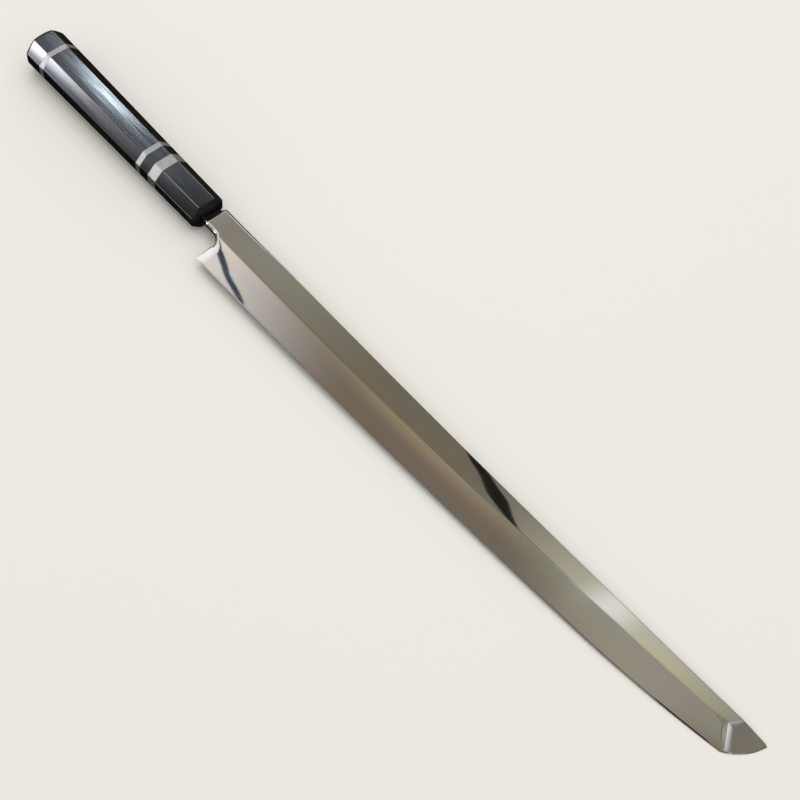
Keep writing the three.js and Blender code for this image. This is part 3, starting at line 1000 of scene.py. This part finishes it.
def polished_carbon_steel(finish):
    """Carbon steel, mirror-polished lengthwise on soft buffs."""
    material = bpy.data.materials.new("carbon_steel_mirror_polished")
    tree = new_tree(material)
    place = add_node(tree, "ShaderNodeTexCoord").outputs["Object"]
    # Handling and buffing leave long, faint tints some 3 mm wide, and draw each reflection along the blade.
    tint_space = add_node(tree, "ShaderNodeMapping", {"Vector": place, "Scale": per_mm(60, 3, 3)})
    clouds = add_node(tree, "ShaderNodeTexNoise", {"Vector": tint_space, "Scale": 1.0, "Detail": 1.0})
    tints = add_node(tree, "ShaderNodeSeparateColor", {0: clouds.outputs["Color"]})
    tone = finish.steel
    for share, tint in zip(tints.outputs, (finish.steel_straw, finish.steel_rose)):
        amount = add_node(tree, "ShaderNodeMapRange", {0: share, **TINT_SPAN})
        tone = add_node(tree, "ShaderNodeMix", {0: amount, 6: tone, 7: tint}, data_type="RGBA")
    # Real buffing lines are finer than this; they are drawn half a millimetre wide so that they show.
    line_space = add_node(tree, "ShaderNodeMapping", {"Vector": place, "Scale": per_mm(45, 0.5, 0.5)})
    buffing = add_node(tree, "ShaderNodeTexNoise", {"Vector": line_space, "Scale": 1.0, "Detail": 3.0})
    gloss = add_node(tree, "ShaderNodeMapRange", {0: buffing, **NOISE_SPAN, 3: 0.025, 4: 0.05})
    lines = add_node(tree, "ShaderNodeBump", {"Height": buffing, "Strength": 1.0, "Distance": 0.0004 * MM})
    inputs = {"Base Color": tone, "Metallic": 1.0, "Roughness": gloss, "Normal": lines}
    shader = add_node(tree, "ShaderNodeBsdfPrincipled", inputs)
    add_node(tree, "ShaderNodeOutputMaterial", {"Surface": shader})
    return material


def satin_nickel_silver(finish):
    """Nickel silver, sanded flush with the handle and left satin."""
    material = bpy.data.materials.new("nickel_silver_satin_sanded")
    tree = new_tree(material)
    # Fine lengthwise sanding lines scatter the light, so the rings look pale and even.
    place = add_node(tree, "ShaderNodeTexCoord").outputs["Object"]
    space = add_node(tree, "ShaderNodeMapping", {"Vector": place, "Scale": per_mm(8, 0.25, 0.25)})
    sanding = add_node(tree, "ShaderNodeTexNoise", {"Vector": space, "Scale": 1.0, "Detail": 3.0})
    tones = {0: sanding, 6: finish.nickel, 7: finish.nickel_worn}
    tone = add_node(tree, "ShaderNodeMix", tones, data_type="RGBA")
    gloss = add_node(tree, "ShaderNodeMapRange", {0: sanding, **NOISE_SPAN, 3: 0.46, 4: 0.6})
    lines = add_node(tree, "ShaderNodeBump", {"Height": sanding, "Strength": 1.0, "Distance": 0.004 * MM})
    inputs = {"Base Color": tone, "Metallic": 1.0, "Roughness": gloss, "Normal": lines}
    shader = add_node(tree, "ShaderNodeBsdfPrincipled", inputs)
    add_node(tree, "ShaderNodeOutputMaterial", {"Surface": shader})
    return material


def painted_ridge_highlight(tree, facing):
    """Share of painted highlight on the handle: 1 along its rounded ridges and 0 on its sides and its ends.
    """
    across = {0: facing.outputs[2], 1: facing.outputs[1]}
    turn = add_node(tree, "ShaderNodeMath", across, operation="ARCTAN2")
    off_side = add_node(tree, "ShaderNodeMath", {0: turn, 1: HALF_TURN}, operation="PINGPONG")
    span = {1: HALF_TURN / 4, 2: HALF_TURN * 2 / 3}
    ridge = add_node(tree, "ShaderNodeMapRange", {0: off_side, **span})
    along = add_node(tree, "ShaderNodeMath", {0: facing.outputs[0], 1: 0.0, 2: 0.3}, operation="COMPARE")
    return add_node(tree, "ShaderNodeMath", {0: ridge, 1: along}, operation="MULTIPLY")


def polished_horn(finish):
    """Black buffalo horn, ground and polished."""
    material = bpy.data.materials.new("buffalo_horn_polished")
    tree = new_tree(material)
    # Horn is fibrous and dense: dark grey streaks along its growth under a smooth, slightly soft gloss.
    coordinates = add_node(tree, "ShaderNodeTexCoord").outputs
    scale = per_mm(26, 3.2, 3.2)
    space = add_node(tree, "ShaderNodeMapping", {"Vector": coordinates["Object"], "Scale": scale})
    fibres = {"Vector": space, "Scale": 1.0, "Detail": 5.0, "Distortion": 0.6}
    growth = add_node(tree, "ShaderNodeTexNoise", fibres)
    streak = add_node(tree, "ShaderNodeMapRange", {0: growth, 1: 0.45, 2: 0.75})
    tones = {0: streak, 6: finish.horn, 7: finish.horn_streak}
    tone = add_node(tree, "ShaderNodeMix", tones, data_type="RGBA")
    # A pale highlight is painted along the ridges, where light would glint on them.
    facing = add_node(tree, "ShaderNodeSeparateXYZ", {0: coordinates["Normal"]})
    tones = {0: painted_ridge_highlight(tree, facing), 6: tone, 7: finish.horn_ridge_highlight}
    # The horn's tone with the painted ridge highlight mixed in.
    worn = add_node(tree, "ShaderNodeMix", tones, data_type="RGBA")
    # The ferrule's front face is sanded and not polished, so it stays dull beside the bright steel.
    gloss = add_node(tree, "ShaderNodeMapRange", {0: growth, **NOISE_SPAN, 3: 0.1, 4: 0.16})
    dull = add_node(tree, "ShaderNodeMapRange", {0: facing.outputs[0], 1: 0.8, 2: 0.95, 3: gloss, 4: 0.6})
    inputs = {"Base Color": worn, "Roughness": dull, "IOR": 1.55}
    shader = add_node(tree, "ShaderNodeBsdfPrincipled", inputs)
    add_node(tree, "ShaderNodeOutputMaterial", {"Surface": shader})
    return material


def oiled_ebony(finish):
    """Ebony, sanded fine, oiled and polished."""
    material = bpy.data.materials.new("ebony_oiled_polished")
    tree = new_tree(material)
    place = add_node(tree, "ShaderNodeTexCoord").outputs["Object"]
    # Close dark grain with long fine vessels: the gloss breaks into lengthwise lines.
    grain_space = add_node(tree, "ShaderNodeMapping", {"Vector": place, "Scale": per_mm(70, 1.4, 1.4)})
    grain = add_node(tree, "ShaderNodeTexNoise", {"Vector": grain_space, "Scale": 1.0, "Detail": 4.0})
    pale = add_node(tree, "ShaderNodeMapRange", {0: grain, 1: 0.45, 2: 0.7})
    tones = {0: pale, 6: finish.ebony, 7: finish.ebony_grain}
    tone = add_node(tree, "ShaderNodeMix", tones, data_type="RGBA")
    # Real vessels are about 0.1 mm wide; they are drawn 1 mm wide so that they show.
    pore_space = add_node(tree, "ShaderNodeMapping", {"Vector": place, "Scale": per_mm(35, 1, 1)})
    pores = add_node(tree, "ShaderNodeTexNoise", {"Vector": pore_space, "Scale": 1.0, "Detail": 2.0})
    gloss = add_node(tree, "ShaderNodeMapRange", {0: pores, **NOISE_SPAN, 3: 0.06, 4: 0.18})
    vessels = add_node(tree, "ShaderNodeMapRange", {0: pores, 1: 0.36, 2: 0.46})
    lines = add_node(tree, "ShaderNodeBump", {"Height": vessels, "Strength": 1.0, "Distance": 0.004 * MM})
    inputs = {"Base Color": tone, "Roughness": gloss, "IOR": 1.5, "Normal": lines}
    shader = add_node(tree, "ShaderNodeBsdfPrincipled", inputs)
    add_node(tree, "ShaderNodeOutputMaterial", {"Surface": shader})
    return material


def turned_hardwood(finish):
    """Plain hardwood of the dowels, turned and left bare."""
    # Pale brown wood with straight grain, dull all over.
    tones = (finish.hardwood, finish.hardwood_grain)
    inputs = {"Roughness": 0.7, "IOR": 1.5}
    return even_finish("hardwood_turned_bare", per_mm(40, 1.2, 1.2), 4.0, tones, inputs)


def cast_resin(finish):
    """Dark resin, poured round the tang and set."""
    # Set resin is dark and half matt, with fine dust in it.
    tones = (finish.resin, finish.resin_speck)
    inputs = {"Roughness": 0.5, "IOR": 1.54}
    return even_finish("resin_cast_dark", per_mm(0.8, 0.8, 0.8), 3.0, tones, inputs)


def matt_board(stage):
    """Painted board of the floor, rolled matt."""
    # Matt paint with a faint cloudy tone, pale and even.
    tones = (stage.floor, (*(FLOOR_SHADE * part for part in stage.floor[:3]), 1.0))
    inputs = {"Roughness": 0.8, "IOR": 1.45, "Specular IOR Level": 0.2}
    return even_finish("painted_board_matt", per_mm(60, 60, 60), 4.0, tones, inputs)


def feathered_glow(name, code, strength, feather):
    """Glow of a softbox or shade of a flag, fading out towards its rim."""
    material = bpy.data.materials.new(name)
    tree = new_tree(material)
    place = add_node(tree, "ShaderNodeTexCoord").outputs["Object"]
    ball = add_node(tree, "ShaderNodeTexGradient", {"Vector": place}, gradient_type="SPHERICAL")
    ramp = {0: ball.outputs["Fac"], 1: 0.0, 2: feather}
    fade = add_node(tree, "ShaderNodeMapRange", ramp, interpolation_type="SMOOTHSTEP")
    clear = add_node(tree, "ShaderNodeBsdfTransparent")
    glow = add_node(tree, "ShaderNodeEmission", {"Color": linear(code), "Strength": strength})
    both = add_node(tree, "ShaderNodeMixShader", {0: fade, 1: clear, 2: glow})
    add_node(tree, "ShaderNodeOutputMaterial", {"Surface": both})
    return material


# Stage: places and sizes in metres on the table
CAMERA_PLACE = (0.35416, -0.32213, 0.75883)
CAMERA_AIM = (0.03186, 0.00696, 0.008)
CAMERA_NEAR = 0.01
FLOOR_SIDE = 40.0
KEY_PLACE = (-0.35, 0.25, 1.7)
KEY_SIZE = 1.5

# Air round the stage, and the heights of a line of sight between which the dim air goes dark
PALE_AIR = "#E3E2DE"
DIM_AIR = "#8A857A"
DARK_BELOW = -0.45
DIM_ABOVE = 0.25

# Level softboxes and dark flags seen in the polish: place, size, turn, colour, strength and feather
CARDS = {
    "tip_glow": ((-0.037, 0.66, 1.5), (0.67, 1.4), 0, "#FFFFF0", 0.79, 1.0),
    "tip_spot": ((-0.080, 0.66, 1.49), (0.12, 1.2), 0, "#FFFFFF", 1.2, 1.0),
    "bevel_glow": ((0.06, 0.17, 1.48), (0.54, 0.8), 0, "#FFFCF4", 0.48, 1.0),
    "bevel_warm": ((-0.44, 0.06, 1.51), (0.9, 0.5), 0, "#FFEDDC", 0.27, 1.0),
    "ridge_glow": ((-0.378, 0.116, 1.495), (0.8, 0.12), 18, "#FFF4D6", 0.46, 1.0),
    "heel_glow": ((-1.15, -0.05, 1.5), (1.26, 1.6), 0, "#F6F6FF", 1.7, 0.9),
    "neck_glow": ((-0.86, 0.66, 1.48), (0.6, 0.7), 0, "#F4F6F0", 0.42, 1.0),
    "shoulder_glow": ((-2.3, 0.7, 1.5), (1.3, 1.6), 0, "#F4F6FF", 0.9, 1.0),
    "spine_glow": ((-1.18, 1.7, 1.5), (0.5, 0.8), 0, "#F6FAFF", 4.5, 1.0),
    "grip_box": ((-1.235, 0.69, 1.47), (0.14, 0.26), 0, "#E2F0FF", 64.0, 1.0),
    "grip_halo": ((-1.28, 0.66, 1.52), (0.65, 0.8), 0, "#E2F0FF", 1.35, 0.25),
    "band_glow": ((0.70, 0.66, 1.5), (0.86, 0.86), 0, "#E4EAFF", 1.35, 1.0),
    "arm_glow": ((0.82, 0.15, 1.49), (0.72, 0.64), 0, "#E4EAFF", 1.1, 1.0),
    "crease_glow": ((0.265, 0.265, 1.47), (0.34, 0.2), 45, "#FFFFF0", 0.5, 0.9),
    "point_glow": ((0.44, 0.35, 1.48), (0.34, 0.34), 0, "#FFFBF0", 0.29, 0.7),
    "flat_flag": ((0.0110, 0.1430, 0.306), (0.086, 0.0155), -26, "#FFFFF0", 0.02, 0.12),
    "ridge_flag": ((0.080, 0.112, 0.305), (0.13, 0.012), -12, "#FFFFF0", 0.04, 0.3),
    "heel_flag": ((-0.2495, -0.0215, 0.311), (0.034, 0.0075), -24, "#ADC6FF", 0.13, 0.15),
    "heel_flag_low": ((-0.2285, -0.0298, 0.3105), (0.038, 0.0065), -11, "#ADC6FF", 0.13, 0.15),
    "edge_flag": ((0.240, -0.0305, 0.303), (0.064, 0.012), -1, "#FFFFFF", 0.03, 0.3),
}
# Softboxes that stand beside the knife and face it: place, size, colour, strength and feather
SIDE_CARDS = {
    "butt_box": ((-1.306, -1.225, 0.694), (0.37, 0.55), "#F2F6FF", 42.0, 1.0),
    "side_glow": ((-1.28, -1.375, 0.78), (0.7, 1.0), "#EEF0FF", 2.8, 0.9),
    "under_glow": ((-1.25, -1.05, 1.25), (0.8, 0.7), "#F4F2FF", 1.6, 1.0),
    "back_glow": ((0.1, 2.3, 0.75), (2.4, 1.3), "#FBFAF4", 1.0, 1.0),
    "front_glow": ((1.15, -2.1, 0.85), (2.8, 1.2), "#FBFAF4", 1.0, 1.0),
    "rear_glow": ((-2.6, -0.1, 0.8), (1.8, 1.1), "#FBFAF4", 1.0, 1.0),
}


def board(name, place, size, material):
    """Level board, such as the floor or a card."""
    bm = bmesh.new()
    bm.faces.new([bm.verts.new(corner) for corner in ((-1, -1, 0), (1, -1, 0), (1, 1, 0), (-1, 1, 0))])
    made = as_object(bm, name)
    made.location = place
    made.scale = (size[0] / 2, size[1] / 2, 1.0)
    cover(made, material)
    return made


def hang_card(name, place, size, rotation, glow):
    """Softbox or dark flag that only shows in polished surfaces."""
    made = board(name, place, size, feathered_glow(name, *glow))
    made.rotation_euler = rotation
    made.visible_camera = False
    made.visible_diffuse = False
    made.visible_shadow = False


def lay_floor(scene):
    """Pale floor that polished surfaces don't see."""
    floor = board("floor", (0, 0, 0), (FLOOR_SIDE, FLOOR_SIDE), matt_board(scene.knife_stage))
    floor.visible_glossy = False


def hang_key(scene):
    """Large soft light overhead."""
    lamp = bpy.data.lights.new("key", "AREA")
    lamp.energy = scene.knife_stage.key_power
    lamp.size = KEY_SIZE
    key = bpy.data.objects.new("key", lamp)
    key.location = KEY_PLACE
    key.rotation_euler = (-Vector(KEY_PLACE)).to_track_quat("-Z", "Y").to_euler()
    key.visible_glossy = False
    scene.collection.objects.link(key)


def hang_cards():
    """Softboxes and flags that polished surfaces see."""
    for name, (place, size, turn, *glow) in CARDS.items():
        hang_card(name, place, size, Euler((0, 0, math.radians(turn))), glow)
    for name, (place, size, *glow) in SIDE_CARDS.items():
        hang_card(name, place, size, Vector(place).to_track_quat("Z", "Y").to_euler(), glow)


def fill_air(scene):
    """Air round the stage."""
    world = bpy.data.worlds.new("studio_air")
    tree = new_tree(world)
    # Pale air lights the floor; polished surfaces see a dimmer room, dark well below the horizon.
    sight = add_node(tree, "ShaderNodeTexCoord").outputs["Generated"]
    height = add_node(tree, "ShaderNodeSeparateXYZ", {0: sight}).outputs[2]
    ramp = {0: height, 1: DARK_BELOW, 2: DIM_ABOVE}
    rise = add_node(tree, "ShaderNodeMapRange", ramp, interpolation_type="SMOOTHSTEP")
    pale = add_node(tree, "ShaderNodeBackground", {"Color": linear(PALE_AIR)})
    dim = add_node(tree, "ShaderNodeBackground", {"Color": linear(DIM_AIR), "Strength": rise})
    polished = add_node(tree, "ShaderNodeLightPath").outputs["Is Glossy Ray"]
    both = add_node(tree, "ShaderNodeMixShader", {0: polished, 1: pale, 2: dim})
    add_node(tree, "ShaderNodeOutputWorld", {"Surface": both})
    scene.world = world


def place_camera(scene):
    """Camera that looks down along the knife."""
    data = bpy.data.cameras.new("camera")
    data.lens = scene.knife_stage.lens
    data.clip_start = CAMERA_NEAR
    camera = bpy.data.objects.new("camera", data)
    aim = (Vector(CAMERA_AIM) - Vector(CAMERA_PLACE)).to_track_quat("-Z", "Y")
    turn = Matrix.Rotation(scene.knife_stage.roll, 4, "Z")
    camera.matrix_world = Matrix.Translation(CAMERA_PLACE) @ aim.to_matrix().to_4x4() @ turn
    scene.collection.objects.link(camera)
    scene.camera = camera


class KNIFE_OT_blade(bpy.types.Operator):
    """Grind and polish the blade"""

    bl_idname = "knife.blade"
    bl_label = "Blade"

    def execute(self, context):
        scene = context.scene
        install(ground_blade(scene), "blade", polished_carbon_steel(scene.knife_finishes))
        return {"FINISHED"}


class KNIFE_OT_horn(bpy.types.Operator):
    """Shape the horn ferrule and the horn end cap"""

    bl_idname = "knife.horn"
    bl_label = "Ferrule and end cap"

    def execute(self, context):
        scene = context.scene
        material = polished_horn(scene.knife_finishes)
        install(ferrule_piece(scene), "ferrule", material)
        install(end_cap_piece(scene), "end_cap", material)
        return {"FINISHED"}


class KNIFE_OT_rings(bpy.types.Operator):
    """Make the three metal rings"""

    bl_idname = "knife.rings"
    bl_label = "Rings"

    def execute(self, context):
        scene = context.scene
        material = satin_nickel_silver(scene.knife_finishes)
        dowels = {"wide_ring": "tang_dowel", "thin_ring": "tang_dowel", "rear_ring": "cap_dowel"}
        for node, dowel in dowels.items():
            install(handle_segment(scene, node, "sanded", [dowel]), node, material)
        return {"FINISHED"}


class KNIFE_OT_ebony(bpy.types.Operator):
    """Shape the ebony grip and the ebony spacer"""

    bl_idname = "knife.ebony"
    bl_label = "Grip and spacer"

    def execute(self, context):
        scene = context.scene
        material = oiled_ebony(scene.knife_finishes)
        bores = {"grip": ["tang_dowel", "tang_bedding", "cap_dowel"], "ring_spacer": ["tang_dowel"]}
        for node, inside in bores.items():
            install(handle_segment(scene, node, "oiled", inside), node, material)
        return {"FINISHED"}


class KNIFE_OT_joinery(bpy.types.Operator):
    """Finish the dowels and the resin inside the handle"""

    bl_idname = "knife.joinery"
    bl_label = "Dowels and resin"

    def execute(self, context):
        finish = context.scene.knife_finishes
        wood = turned_hardwood(finish)
        resin = cast_resin(finish)
        inside = {"tang_dowel": wood, "cap_dowel": wood, "tang_seal": resin, "tang_bedding": resin}
        for node, material in inside.items():
            cover(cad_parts[node], material)
        return {"FINISHED"}


class KNIFE_OT_stage(bpy.types.Operator):
    """Set up the floor, the light and the camera"""

    bl_idname = "knife.stage"
    bl_label = "Stage"

    def execute(self, context):
        scene = context.scene
        lay_floor(scene)
        hang_key(scene)
        hang_cards()
        fill_air(scene)
        place_camera(scene)
        scene.view_settings.view_transform = "Standard"
        return {"FINISHED"}


class KNIFE_PT_panel(bpy.types.Panel):
    """Sizes, colours and pieces of the knife"""

    bl_idname = "KNIFE_PT_panel"
    bl_label = "Takohiki knife"
    bl_space_type = "VIEW_3D"
    bl_region_type = "UI"
    bl_category = "Knife"

    def draw(self, context):
        for piece in PIECES:
            self.layout.operator(piece.bl_idname)
        for name in SETTINGS:
            group = getattr(context.scene, name)
            box = self.layout.box()
            for prop in group.bl_rna.properties:
                if prop.identifier not in ("rna_type", "name"):
                    box.prop(group, prop.identifier)


SETTINGS = {
    "knife_blade": BladeSizes,
    "knife_point": PointSizes,
    "knife_handle": HandleSizes,
    "knife_finishes": Finishes,
    "knife_stage": StageSettings,
}
PIECES = (
    KNIFE_OT_stage,
    KNIFE_OT_blade,
    KNIFE_OT_horn,
    KNIFE_OT_rings,
    KNIFE_OT_ebony,
    KNIFE_OT_joinery,
)
CLASSES = (*SETTINGS.values(), *PIECES, KNIFE_PT_panel)


def register():
    for kind in CLASSES:
        bpy.utils.register_class(kind)
    for name, kind in SETTINGS.items():
        setattr(bpy.types.Scene, name, bpy.props.PointerProperty(type=kind))


def unregister():
    for name in SETTINGS:
        delattr(bpy.types.Scene, name)
    for kind in reversed(CLASSES):
        bpy.utils.unregister_class(kind)


def main():
    register()
    bpy.ops.knife.stage()
    bpy.ops.knife.blade()
    bpy.ops.knife.horn()
    bpy.ops.knife.rings()
    bpy.ops.knife.ebony()
    bpy.ops.knife.joinery()
    bpy.context.view_layer.update()


if __name__ == "__main__":
    main()
